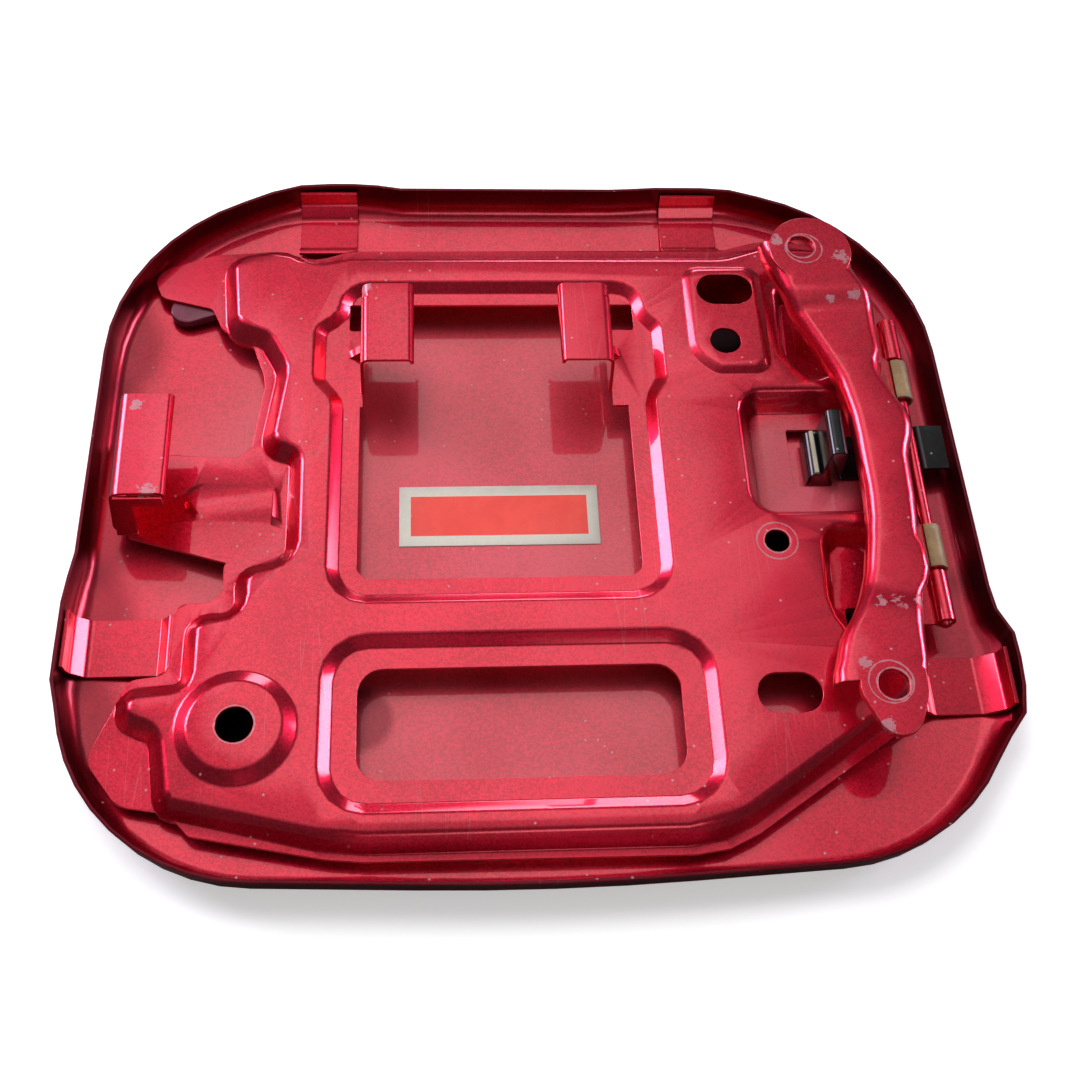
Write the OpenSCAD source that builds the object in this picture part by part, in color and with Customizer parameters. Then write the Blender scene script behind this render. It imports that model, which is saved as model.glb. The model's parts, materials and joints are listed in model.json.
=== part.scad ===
// Fuel filler door of a car, seen from its inner side.
// The door lies face down: X runs from the latch to the hinge, Y runs up the car, Z points inward.

/* [Door skin] */
// Width across the two side bulges of the flange
door_w = 200; // [196:1:212]
// Depth of the skin from its lower to its upper edge
door_d = 176; // [172:1:188]
// Sheet thickness of the skin
skin_t = 0.8; // [0.6:0.1:1.0]
// Height of the flange's rim above the surface the door lies on
rim_h = 11; // [10:0.25:13]
// Outside radius of the fold between face and flange
fold_r = 3.5; // [2.5:0.25:4.5]
// Rise of the crowned face at its edge
crown = 2.2; // [1.4:0.1:2.4]

/* [Inner panel] */
// Sheet thickness of the inner panel
panel_t = 0.8; // [0.6:0.1:0.9]
// Height of the panel's main face
panel_h = 10; // [9.5:0.25:11]
// Drop from the main face to the lip that runs round it
lip_drop = 3.8; // [3.2:0.1:4.0]
// Width of the sloping wall between main face and lip
slope_w = 3.2; // [2.8:0.1:3.4]
// Width of the flat lip
lip_w = 2.8; // [2:0.1:3.2]
// Radius of the pressed creases
crease_r = 1.2; // [0.9:0.1:1.4]
// Diameter of the hole in the round boss
boss_hole_d = 7.5; // [6:0.1:9]
// Height of the round boss
boss_h = 2; // [1.2:0.1:2.4]
// Diameter of the upper locating hole
locating_hole_d = 7.3; // [5:0.1:8]
// Diameter of the small drain hole
drain_hole_d = 5.5; // [4:0.1:7]
// Length of the two drain slots
slot_l = 13.6; // [11:0.1:14.5]
// Width of the two drain slots
slot_w = 9; // [7:0.1:9.5]

/* [Windows] */
// Width of the cap window
cap_win_w = 61.8; // [58:0.2:63]
// Depth of the cap window
cap_win_d = 73.4; // [70:0.2:74]
// Width of the lower window
low_win_w = 66.8; // [62:0.2:68]
// Depth of the lower window
low_win_d = 24; // [20:0.2:25]
// Depth of the pressed rings round both windows
ring_drop = 2; // [1.4:0.1:2.4]

/* [Cap hooks] */
// Height of the hooks' upper face
hook_h = 21; // [18:0.25:22]
// Length of each hook along the window's edge
hook_l = 21.6; // [18:0.2:22]
// Reach of each hook over the window
hook_reach = 11.2; // [9:0.2:13]

/* [Latch] */
// Height of the latch loop's upper face
latch_h = 22; // [19:0.25:24]
// Length of the latch loop
latch_l = 25.2; // [22:0.2:26]
// Reach of the loop's upper plate
latch_reach = 10.4; // [8:0.2:12]

/* [Hinge] */
// Distance of the hinge pin from the door's side edge
hinge_inset = 14.6; // [14:0.1:15]
// Height of the hinge pin
hinge_z = 10.5; // [10.2:0.1:10.8]
// Diameter of the hinge pin
pin_d = 2.8; // [2.4:0.1:3.0]
// Radial running clearance of the arm's eyes on the pin
pin_clear = 0.06; // [0.03:0.01:0.09]
// Length of each bush
bush_l = 10.4; // [8:0.2:10.6]
// Sheet thickness of the hinge arm
arm_t = 1.6; // [1.2:0.1:1.8]
// Height of the arm's upper face
arm_h = 17.5; // [16.75:0.25:18.5]
// Step up from the arm to its two bolt ears
ear_step = 1.5; // [1:0.1:2]
// Diameter of the two bolt holes
bolt_d = 6.4; // [5.2:0.1:7]

/* [Spring and label] */
// Thickness of the leaf spring
leaf_t = 0.6; // [0.5:0.05:0.7]
// Width of the leaf spring
leaf_w = 11.6; // [9:0.2:12]
// Height of the spring's folded loop
leaf_h = 16; // [14:0.25:17]
// Width of the label
label_w = 45.1; // [40:0.1:50]
// Depth of the label
label_d = 15.4; // [12:0.1:18]
// Thickness of the label
label_t = 0.2; // [0.15:0.05:0.3]

/* [Hidden] */
$fn = 36;

half_w = door_w / 2;
half_d = door_d / 2;
lip_h = panel_h - lip_drop;
land_h = panel_h - ring_drop;
mid = panel_t / 2;
hinge_x = half_w - hinge_inset;
arc_steps = 3;
sink = 0.03;

paint = [0.70, 0.07, 0.14];
paint_light = [0.78, 0.10, 0.18];
bronze = [0.62, 0.52, 0.33];
black_steel = [0.10, 0.10, 0.12];

// Plane geometry

function unit(v) = v / norm(v);
function xy(p) = [p[0], p[1]];
function turn_of(a, b) = atan2(a[0] * b[1] - a[1] * b[0], a[0] * b[0] + a[1] * b[1]);
function backward(list) = [for (i = [len(list) - 1:-1:0]) list[i]];

// One vertex of a path of [x, y, radius]: start and end of its arc, centre, turn, radius, heading.
function bend(path, i, closed) =
    let(n = len(path), p = xy(path[i]))
    !closed && i == 0 ? let(b = unit(xy(path[1]) - p)) [p, p, p, 0, 0, atan2(b[1], b[0])] :
    !closed && i == n - 1 ? let(a = unit(p - xy(path[n - 2]))) [p, p, p, 0, 0, atan2(a[1], a[0])] :
    let(a = unit(p - xy(path[(i + n - 1) % n])),
        b = unit(xy(path[(i + 1) % n]) - p),
        turn = turn_of(a, b),
        r = path[i][2],
        t = r * tan(abs(turn) / 2),
        s = p - t * a)
    [s, p + t * b, s + r * sign(turn) * [-a[1], a[0]], turn, r, atan2(a[1], a[0])];

// Points along a path, each moved by u to the right of travel.
function edge(path, u, closed, steps = arc_steps) =
    [for (i = [0:len(path) - 1])
        let(c = bend(path, i, closed), s = sign(c[3]),
            m = c[4] > 0 ? (steps > 0 ? steps : max(1, round(abs(c[3]) / 22))) : 0)
        for (k = [0:m])
            let(h = c[5] + (m > 0 ? c[3] * k / m : 0), right = [sin(h), -cos(h)])
            c[2] + (c[4] * s + u) * right];

// Outline of a bent strip of constant thickness.
function strip(path, t, steps = arc_steps) =
    concat(edge(path, -t / 2, false, steps), backward(edge(path, t / 2, false, steps)));

// Plan positions

// Positions are laid out for a door of 200 by 176. What lies near the latch or the hinge keeps its
// distance from that side, and the rest keeps its share of the width and depth.
wider = half_w - 100;
deeper = half_d / 88;
function across(x) = x + wider * min(1, max(-1, x / 45));
function at(p) = [across(p[0]), p[1] * deeper];
function fitted(path) = [for (p = path) [across(p[0]), p[1] * deeper, p[2]]];
function by_hinge(x) = x + hinge_x - 85.4;
function at_hinge(path) = [for (p = path) [by_hinge(p[0]), p[1], p[2]]];

// Pressed sheet

// One surface of a sheet that steps from height z0 to z1 over width w: [offset, height] points.
// The sheet's middle runs at these heights, and the surface lies a lift above or below it.
// Its first and last points are carried a little past the flats, so that the surfaces cross cleanly.
function slope_line(z0, z1, w, lift, first = 0, last = 0) =
    let(s = sign(w), line = edge([[-2 * s, z0], [0, z0, crease_r], [w, z1, crease_r], [w + 2 * s, z1]],
        -s * lift, false, 1))
    [[line[1][0], line[1][1] + first], line[2], line[3], [line[4][0], line[4][1] + last]];

// Solid stacked from outlines of one path: each level is [offset, height], lowest first.
module stack(path, levels) {
    rings = [for (q = levels) [for (p = edge(path, q[0], true, 0)) [p[0], p[1], q[1]]]];
    n = len(rings[0]);
    m = len(rings);
    polyhedron(points = [for (r = rings) each r],
        faces = concat(
            [[for (i = [0:n - 1]) i]],
            [[for (i = [n - 1:-1:0]) (m - 1) * n + i]],
            [for (j = [0:m - 2]) for (i = [0:n - 1])
                let(a = j * n + i, b = j * n + (i + 1) % n)
                each [[a, a + n, b + n], [a, b + n, b]]]));
}

// A pressed field: its metal, to be added, and the hollow on its other side, to be cut.
module pressed(path, z, w) {
    low = z < panel_h;
    line = slope_line(panel_h - mid, z - mid, -w, low ? -mid : mid, -sink);
    start = [line[0][0], panel_h - mid];
    stack(path, z < panel_h ? concat(backward(line), [start]) : concat([start], line));
}

module hollow(path, z, w) {
    low = z < panel_h;
    line = slope_line(panel_h - mid, z - mid, -w, low ? mid : -mid, sink);
    far = [line[0][0], z < panel_h ? panel_h + 3 : panel_h - 3];
    stack(path, z < panel_h ? concat(backward(line), [far]) : concat([far], line));
}

// Flat sheet whose upper face is at z.
module sheet(z) {
    translate([0, 0, z - panel_t]) linear_extrude(panel_t) children();
}

// Opening cut through the sheet whose upper face is at z.
module opening(z) {
    translate([0, 0, z - 2]) linear_extrude(3) children();
}

module area(path, grow = 0) {
    polygon(edge(path, grow, true, 0));
}

module slot_2d(l, w) {
    hull() {
        translate([-(l - w) / 2, 0]) circle(d = w);
        translate([(l - w) / 2, 0]) circle(d = w);
    }
}

module rounded_2d(w, d, r) {
    hull() for (x = [-1, 1]) for (y = [-1, 1])
        translate([x * (w / 2 - r), y * (d / 2 - r)]) circle(r = r, $fn = r > 2 ? 24 : 16);
}

// Outer skin: a crowned tray lofted through rings that follow one outline.

skin_path = [
    [-half_w + 0.6, -half_d + 3.6, 42], [0, -half_d - 0.6, 600], [half_w - 2.6, -half_d + 4.2, 42],
    [half_w - 5.2, half_d - 1.8, 51], [-half_w + 2.4, half_d - 0.9, 50]];

// Each weld tab sits in a shallow bulge of the flange: [x, y, half length, height].
tab_at = [at([-48.5, 0])[0], at([41.5, 0])[0], at([0, -34])[1], at([0, -46.6])[1]];
bulges = [
    [tab_at[0], half_d, 9, 1.4], [tab_at[1], half_d, 9, 0.7],
    [-half_w, tab_at[2] + 0.5, 9, 1.4], [half_w, tab_at[3] + 0.1, 8, 3.2]];

function ease(v) = let(c = min(1, max(0, v))) c * c * (3 - 2 * c);
function bulge_at(p) =
    max([for (b = bulges) let(side = abs(b[0]) > 60,
        along = side ? abs(p[1] - b[1]) : abs(p[0] - b[0]),
        across = side ? abs(p[0] - b[0]) : abs(p[1] - b[1]))
        across < 12 ? b[3] * ease((b[2] + 9 - along) / 9) : 0]);

// Points round the outline with their outward normals; long sides are divided evenly.
function outline_at(path) = [for (i = [0:len(path) - 1])
    let(c = bend(path, i, true), d = bend(path, (i + 1) % len(path), true),
        m = path[i][2] > 200 ? 4 : 11, gap = norm(d[0] - c[1]), q = max(1, floor(gap / 5.5)))
    each concat(
        [for (k = [0:m]) let(h = c[5] + c[3] * k / m, o = [sin(h), -cos(h)]) [c[2] + c[4] * o, o]],
        [for (k = [1:1:q - 1]) let(h = c[5] + c[3])
            [c[1] + (d[0] - c[1]) * k / q, [sin(h), -cos(h)]]])];

outline = outline_at(skin_path);
fold_in = 0.4;

// A ring: inset from the outline, share of the bulge, scale about the middle, height.
function ring(inset, share, k, z) =
    [for (o = outline) let(p = o[0] + o[1] * (share * bulge_at(o[0]) - inset)) [p[0] * k, p[1] * k, z]];
function crown_z(k) = crown * pow(max(0, (k - 0.45) / 0.55), 2);
function fold_ring(a, r) = ring(fold_in + fold_r - r * sin(a), a / 90, 1, crown + fold_r - r * cos(a));

face_k = [0.45, 0.6, 0.75, 0.88];
fold_a = [0, 30, 60, 90];

module outer_skin() {
    rings = concat(
        [for (k = face_k) ring(fold_in + fold_r, 0, k, crown_z(k))],
        [for (a = fold_a) fold_ring(a, fold_r)],
        [ring(0, 1, 1, rim_h)],
        [ring(skin_t, 1, 1, rim_h)],
        [for (a = backward(fold_a)) fold_ring(a, fold_r - skin_t)],
        [for (k = backward(face_k)) ring(fold_in + fold_r, 0, k, crown_z(k) + skin_t)]);
    n = len(outline);
    m = len(rings);
    color(paint)
    polyhedron(points = [for (r = rings) each r],
        faces = concat(
            [[for (i = [0:n - 1]) i]],
            [[for (i = [n - 1:-1:0]) (m - 1) * n + i]],
            [for (j = [0:m - 2]) for (i = [0:n - 1])
                let(a = j * n + i, b = j * n + (i + 1) % n)
                each [[a, a + n, b + n], [a, b + n, b]]]));
}

// Inner panel

face_path = fitted([
    [82, 40, 0], [76.4, 67, 7], [58, 67.6, 5], [48.5, 64.6, 9], [-43, 64.6, 9], [-52, 62.6, 9],
    [-59.5, 67, 7], [-69.6, 65.2, 3], [-68, 46, 3.5], [-61, 44.6, 6], [-55.6, 34, 9],
    [-58.6, 13.4, 2.6], [-51.8, 12, 4.6], [-51.8, -17.6, 7], [-62.2, -20, 1.6],
    [-61.6, -30.8, 6], [-71.8, -31, 1.8], [-71.8, -46.6, 5], [-84.6, -47.6, 1.4],
    [-84.2, -50.8, 1.4], [-77.4, -53.4, 6], [-75.4, -68.4, 2], [-42, -76.6, 40],
    [33, -76.8, 22], [74, -49.8, 7], [84, -43, 0]]);

cap_x = across(-8.8);
cap_y = 15.8 * deeper;
low_x = across(-5.6);
low_y = -53.7 * deeper;
cap_l = cap_x - cap_win_w / 2;
cap_r = cap_x + cap_win_w / 2;
cap_b = cap_y - cap_win_d / 2;
cap_t = cap_y + cap_win_d / 2;
low_hw = low_win_w / 2;
low_hd = low_win_d / 2;
ring_w = 2.6;
ring_land = 4;
lobe = 4.4;

cap_ring = let(l = cap_l - ring_land - ring_w, r = cap_r + ring_land + ring_w,
    b = cap_b - ring_land - ring_w, t = cap_t + ring_land + ring_w - 0.6)
    [[l, b, 9], [r, b, 9], [r, t - 34, 4.6], [r + lobe - 1.4, t - 29, 4.6], [r + lobe - 1.4, t - 13, 4.6],
     [r - 1, t - 9, 5], [r - 1.2, t, 7], [l + 1.8, t, 7], [l + 1.4, t - 9, 5], [l - lobe, t - 13, 4.6],
     [l - lobe, t - 29, 4.6], [l, t - 34, 4.6]];
low_ring = let(w = low_hw + ring_land + ring_w + 1.2, d = low_hd + ring_land + ring_w + 0.8)
    [[low_x - w, low_y - d, 10], [low_x + w, low_y - d, 10],
     [low_x + w, low_y + d, 10], [low_x - w, low_y + d, 10]];
pad_path = at_hinge([[37.6, 62.2, 4], [37.4, 36, 8], [43, 30.6, 4], [56.4, 30.6, 4], [56.6, 62.2, 4]]);
lens_path = at_hinge([[59.8, 58, 4], [59, 36, 10], [65.4, 28.4, 3.2], [75.4, 32, 5], [75.4, 58, 4]]);
pocket_path = at_hinge([[62, -10, 5], [60.8, -30, 9], [66.5, -40.5, 5], [75.4, -38, 4.5], [75.4, -10, 4.5]]);
seat_path = at_hinge([[47.2, -7, 6], [96, -7, 4], [96, 26.4, 4], [47.2, 26.4, 6]]);
boss_at = at([-62.8, -54.6]);
pad_rise = 1.2;
seat_h = 4;
deep_h = 4.4;
well_w = 2.2;

slots = [[by_hinge(47.4), 54.6], [by_hinge(50), -49.6]];
locating_at = [by_hinge(46), 39.3];
drain_at = [by_hinge(51.8), -14];
spring_at = [by_hinge(63.6), 10.9];

// Weld tabs: bent strips from the lip down to the skin and up the flange.
tab_floor = crown + skin_t + mid + 0.15;
tab_gap = 0.04;
tab_top = rim_h - 1.2;
function tab_path(start, wall, high) = [
    [start, lip_h - mid - sink], [start + 1.2, lip_h - mid - sink, 0.8], [start + 3.2, tab_floor, 1.2],
    [wall - 2 - 0.9 * high, tab_floor, 2.5], [wall, crown + fold_r + 0.9, 2.5], [wall + 0.2, tab_top]];

// A tab stops short of the flange, whose outside lies this far from the middle at the tab's nearer end.
function wall_of(reach) = reach - fold_in - skin_t - mid - tab_gap;

module tab(width, start, reach, high) {
    rotate([90, 0, 0]) translate([0, 0, -width / 2])
        linear_extrude(width) polygon(strip(tab_path(start, wall_of(reach), high), panel_t, 3));
}

// Outline of the lip with its two feet at the latch side.
lip_path = let(g = lip_w - 2.8) fitted([
    [88, 52, 2], [80, 72.4 + g, 12], [58.5, 73.6 + g, 6], [48.6, 70.6 + g, 9], [-43, 70.6 + g, 9],
    [-51.5, 67.6 + g, 8], [-60, 70.6 + g, 7], [-76, 69.4 + g, 4], [-90.6 - g, 63.8, 4.6], [-87.4, 56.4, 2.4],
    [-75.2, 53, 2], [-72.4 - g, 46.4, 3], [-66, 44.4, 5], [-61.6 - g, 32, 7], [-64.6 - g, 8, 2],
    [-64.6 - g, -14.4, 2], [-68.4 - g, -14.8, 2.4], [-67.8 - g, -24.8, 4], [-77.8 - g, -25, 3],
    [-77.8 - g, -41.2, 3], [-85.4, -42.2, 2], [-92.8 - g, -59.4, 4.5], [-85.6 - g, -69, 5],
    [-75.6, -70.6, 1.6], [-71.2, -75.4 - g, 2], [-41, -81.4 - g, 40], [35, -81.9 - g, 24],
    [76.8, -54.8 - g, 7], [88, -49, 2]]);

// Tongue of the latch: the lip runs out to the loop's foot.
tongue = [for (p = [[-55, -16.6], [-66, -16], [-89, -9], [-89, -6.2], [-88.6, -6.2], [-88.6, 12.6],
    [-72.6, 11.4], [-67, 11.2], [-64, 14], [-55, 14]]) at(p)];

// Main face, border slope and lip as one pressing.
module pressing() {
    top = slope_line(panel_h - mid, lip_h - mid, slope_w, mid, 0, -sink);
    under = slope_line(panel_h - mid, lip_h - mid, slope_w, -mid, 0, -sink);
    difference() {
        union() {
            stack(face_path, concat([[top[3][0], lip_h - panel_t]], backward(top)));
            sheet(lip_h) {
                area(lip_path);
                polygon(tongue);
            }
        }
        stack(face_path, concat([[under[3][0], lip_h - 3]], backward(under)));
    }
}

// Outline of the cap window with the strips of land that carry the hooks, and their relief notches.
module cap_window() {
    difference() {
        translate([cap_x, cap_y]) rounded_2d(cap_win_w, cap_win_d, 3.4);
        translate([cap_l - 1, cap_t - 7.6 - hook_l]) square([1.6, hook_l]);
        translate([cap_r - 3.6, cap_t - 7.6 - hook_l]) square([4.6, hook_l]);
    }
    translate([cap_l + 0.2, cap_t - 3.8]) rounded_2d(6, 7.6, 0.8);
    translate([cap_r - 0.2, cap_t - 3.8]) rounded_2d(6, 7.6, 0.8);
}

// Round boss: cone-sided, with its hole cut later.
boss_r = 9.4;

module boss_metal() {
    translate([boss_at[0], boss_at[1], 0]) rotate_extrude()
        polygon([[0, panel_h - mid], [boss_r + 3.6, panel_h - mid], [boss_r + 3.2, panel_h],
            [boss_r + 2.5, panel_h + 0.3], [boss_r + 0.4, panel_h + boss_h - 0.3],
            [boss_r - 0.5, panel_h + boss_h], [0, panel_h + boss_h]]);
}

module boss_hollow() {
    translate([boss_at[0], boss_at[1], -panel_t]) rotate_extrude()
        polygon([[0, panel_h - 2], [boss_r + 2.8, panel_h - 2], [boss_r + 2.8, panel_h],
            [boss_r + 2, panel_h + 0.3], [boss_r - 0.1, panel_h + boss_h - 0.3],
            [boss_r - 0.9, panel_h + boss_h], [0, panel_h + boss_h]]);
}

module field_metal() {
    pressed(cap_ring, land_h, ring_w);
    pressed(low_ring, land_h, ring_w);
    pressed(pad_path, panel_h + pad_rise, 1.8);
    pressed(lens_path, deep_h, well_w);
    pressed(pocket_path, deep_h, well_w);
    pressed(seat_path, seat_h, 3);
    boss_metal();
}

module field_hollows() {
    hollow(cap_ring, land_h, ring_w);
    hollow(low_ring, land_h, ring_w);
    hollow(pad_path, panel_h + pad_rise, 1.8);
    hollow(lens_path, deep_h, well_w);
    hollow(pocket_path, deep_h, well_w);
    hollow(seat_path, seat_h, 3);
    boss_hollow();
}

// Every hole and window of the pressed panel.
module openings() {
    opening(land_h) cap_window();
    opening(land_h) translate([low_x, low_y]) rounded_2d(low_win_w, low_win_d, 5.4);
    opening(panel_h + pad_rise) translate(locating_at) circle(d = locating_hole_d);
    opening(panel_h + pad_rise) translate(slots[0]) slot_2d(slot_l, slot_w);
    opening(panel_h) translate(slots[1]) slot_2d(slot_l, slot_w);
    opening(panel_h) translate(drain_at) circle(d = drain_hole_d);
    opening(panel_h + boss_h) translate(boss_at) circle(d = boss_hole_d);
    opening(deep_h) translate([by_hinge(68.5), 46]) rounded_2d(8, 14, 1.2);
    opening(deep_h) translate([by_hinge(69), -31.5]) rounded_2d(6, 7, 1);
    opening(seat_h) translate(spring_at) rounded_2d(9, 15.4, 0.8);
}

panel_end = by_hinge(79);

module pressed_panel() {
    intersection() {
        difference() {
            union() {
                pressing();
                field_metal();
            }
            field_hollows();
            openings();
        }
        translate([panel_end - 300, -150, -1]) cube([300, 300, 30]);
    }
}

// Cap holder: a strip bent up at the window's edge and over the window.
module cap_hook(side) {
    root = side < 0 ? cap_l : cap_r - 3.4;
    path = [[-0.5, land_h - mid - sink], [0.6, land_h - mid - sink, 0.7], [1.1, hook_h - mid, 1.6],
        [hook_reach + 0.6, hook_h - mid, 0.9], [hook_reach + 1.1, hook_h - 1.8]];
    translate([root, cap_t - 7.4, 0]) mirror([side > 0 ? 1 : 0, 0, 0])
        rotate([90, 0, 0]) {
            linear_extrude(hook_l - 3.6) polygon(strip(path, panel_t, 3));
            translate([0, 0, -3.6]) linear_extrude(3.6)
                polygon(strip([[1, hook_h - 7], [1.1, hook_h - mid, 1.6],
                    [hook_reach + 0.6, hook_h - mid, 0.9], [hook_reach + 1.1, hook_h - 1.8]], panel_t, 3));
        }
    // Pressed rib that stiffens the bend.
    translate([root, cap_t - 14.6, 0]) mirror([side > 0 ? 1 : 0, 0, 0])
        rotate([90, 0, 0]) translate([0, 0, -1]) linear_extrude(2)
            polygon([[-3.2, land_h - mid], [0.9, land_h + 3.4], [0.9, land_h - mid]]);
}

// Latch loop: a wide tongue at low level, bent up and folded back over itself.
module latch() {
    tongue_z = lip_h;
    y0 = -7.2;
    out = across(-92);
    plate = [[out + 4, tongue_z - mid - sink], [out, tongue_z - mid - sink, 2], [out + 2.2, latch_h - mid, 2.2],
        [out + 2.2 + latch_reach, latch_h - mid, 0.8], [out + latch_reach + 2.6, latch_h - 1.6]];
    translate([0, y0 + latch_l, 0]) rotate([90, 0, 0])
        linear_extrude(latch_l) polygon(strip(plate, panel_t, 3));
    // Turned-down edges that box in the near end of the loop.
    translate([out + 2.6, y0 - panel_t, latch_h - 4]) cube([latch_reach - 0.4, panel_t + 0.1, 3]);
    translate([0, y0 + 0.1, 0]) rotate([90, 0, 0]) linear_extrude(panel_t + 0.1)
        polygon([[out + 0.4, tongue_z - 0.6], [out + 4.9, tongue_z - 0.6], [out + 6.4, latch_h - 1.4],
            [out + 2.6, latch_h - 1.4]]);
    // Bead pressed along the tongue.
    stack(fitted([[-56.6, -6.7, 2], [-56.6, 3.7, 2], [-78.2, 5.4, 4.8], [-78.8, -4.9, 4.8]]),
        [[0, tongue_z - 0.3], [-1.6, tongue_z + 1.2]]);
}

module weld_tabs() {
    top = 70.1 * deeper;
    translate([tab_at[0], 0, 0]) rotate([0, 0, 90]) tab(14, top, half_d - 0.35, 1.4);
    translate([tab_at[1], 0, 0]) rotate([0, 0, 90]) tab(14, top, half_d - 1.14, 0.7);
    translate([0, tab_at[2], 0]) rotate([0, 0, 180]) tab(13, across(77.2), half_w + 0.2, 1.4);
    translate([0, tab_at[3], 0]) tab(13, panel_end - 0.6, half_w - 1.2, 3.2);
}

bushes = [21.6, -22.3];
knuckle_l = [11.2, 11.8];
knuckle_gap = [1, 0.7];
knuckles = [[bushes[0] + bush_l + knuckle_gap[0], bushes[0] + bush_l + knuckle_gap[0] + knuckle_l[0]],
    [bushes[1] - knuckle_gap[1] - knuckle_l[1], bushes[1] - knuckle_gap[1]]];
eye_wall = 0.7;
knuckle_r = pin_d / 2 + panel_t;

module knuckle(k) {
    length = k[1] - k[0];
    difference() {
        union() {
            translate([hinge_x, k[0], hinge_z]) rotate([-90, 0, 0]) cylinder(r = knuckle_r, h = length);
            translate([panel_end - 0.6, k[0], panel_h - panel_t - sink])
                cube([hinge_x - panel_end - 0.4, length, panel_t]);
        }
        translate([hinge_x, k[0] - 1, hinge_z]) rotate([-90, 0, 0]) cylinder(d = pin_d + 0.04, h = length + 2);
    }
}

module inner_panel() {
    color(paint_light) {
        pressed_panel();
        cap_hook(-1);
        cap_hook(1);
        latch();
        weld_tabs();
        knuckle(knuckles[0]);
        knuckle(knuckles[1]);
    }
}

// Hinge arm: a stamped channel lofted along Y, with two bolt ears and two rolled eyes.

ear_top = [by_hinge(67.5), 60.3];
ear_low = [by_hinge(69), -52.4];
bolt_top = [by_hinge(65.3), 61.2];
bolt_low = [by_hinge(68.9), -51.9];
eye_r = pin_d / 2 + pin_clear + eye_wall;
bush_r_in = eye_r + 0.02;
bush_r = bush_r_in + 0.55;
lug_angle = 140;

// Left and right edge of the arm, its height and its flange depths along Y.
arm_left = [[-51, 57.4], [-49, 57.6], [-45.4, 59], [-40, 60.6], [-35.6, 63.6], [-31, 66.2], [-25, 68.3],
    [-13.5, 70.6], [-6, 71.2], [7, 71.2], [15, 70.9], [25, 69.3], [33.3, 66], [42.7, 62],
    [50.5, 59.4], [58.8, 56.4], [63.2, 55.6]];
arm_right = [[-51, 76.6], [-47, 77.4], [-42, 77.8], [-35, 78.7], [-31, 79.4], [-28.6, 80.9], [-25.5, 82.1],
    [-20.7, 82.4], [-16.2, 81.4], [-13, 82], [-4, 82.6], [4, 82.8], [7, 83.6], [10, 84.9], [15, 84.9],
    [19, 82.8], [23, 81], [28, 79.7], [31, 80.8], [36, 80.9], [46, 81.3], [49.8, 80], [55, 77.6], [63.2, 76.8]];
arm_rise = [[-34, 1], [-31, 0], [44.5, 0], [48, 1]];
depth_left = [[-51, 3.4], [-46, 4.4], [58, 4.4], [63.2, 3.2]];
depth_right = [[-51, 2], [-42, 2.4], [-34, 3.2], [-29, 2.2], [-20, 2.2], [-13, 3.6], [4, 3.6],
    [10, 4.2], [15, 4], [22, 2.6], [28, 3.4], [32, 2.4], [46, 3.4], [52, 3.2], [63.2, 2]];

function fillet(cx, cz, r, a0, a1) = [for (k = [0:3]) let(a = a0 + (a1 - a0) * k / 3)
    [cx + r * cos(a), cz + r * sin(a)]];
function arm_section(y) =
    let(l = by_hinge(lookup(y, arm_left)), r = by_hinge(lookup(y, arm_right)),
        z = arm_h + ear_step * ease(lookup(y, arm_rise)),
        dl = lookup(y, depth_left), dr = lookup(y, depth_right),
        rl = min(2.6, dl - 0.1), rr = min(2.8, dr - 0.1),
        il = max(0.1, rl - arm_t), ir = max(0.1, rr - arm_t),
        low_l = min(z - dl, z - arm_t - 0.12), low_r = min(z - dr, z - arm_t - 0.12))
    [for (p = concat(
        [[l, low_l]], fillet(l + rl, z - rl, rl, 180, 90), fillet(r - rr, z - rr, rr, 90, 0), [[r, low_r]],
        [[r - arm_t, low_r]], fillet(r - arm_t - ir, z - arm_t - ir, ir, 0, 90),
        fillet(l + arm_t + il, z - arm_t - il, il, 90, 180), [[l + arm_t, low_l]]))
        [p[0], y, p[1]]];

arm_y = [for (k = [0:44]) -51 + 114.2 * k / 44];

module arm_channel() {
    rings = [for (y = arm_y) arm_section(y)];
    n = len(rings[0]);
    m = len(rings);
    polyhedron(points = [for (r = rings) each r],
        faces = concat(
            [for (i = [0:n / 2 - 2]) each [[i, i + 1, n - 2 - i], [i, n - 2 - i, n - 1 - i]]],
            [for (i = [0:n / 2 - 2]) let(o = (m - 1) * n)
                each [[o + i + 1, o + i, o + n - 2 - i], [o + i, o + n - 1 - i, o + n - 2 - i]]],
            [for (j = [0:m - 2]) for (i = [0:n - 1])
                let(a = j * n + i, b = j * n + (i + 1) % n)
                each [[a, a + n, b + n], [a, b + n, b]]]));
}

module ear_plates() {
    translate([0, 0, arm_h + ear_step - arm_t]) linear_extrude(arm_t) {
        translate(ear_top) circle(r = 9.9, $fn = 72);
        hull() {
            translate(ear_low) circle(r = 7);
            translate(ear_low + [0.2, -5.6]) circle(r = 4.8);
            translate(ear_low + [-6.6, 2.4]) square([13.6, 1]);
        }
    }
}

module eye(y) {
    translate([hinge_x, y, hinge_z]) rotate([-90, 0, 0]) cylinder(r = eye_r, h = bush_l);
    translate([hinge_x, y, hinge_z]) rotate([0, -lug_angle, 0])
        translate([eye_r - 0.5, 0, -0.45]) cube([5.2, bush_l, 0.9]);
}

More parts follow.
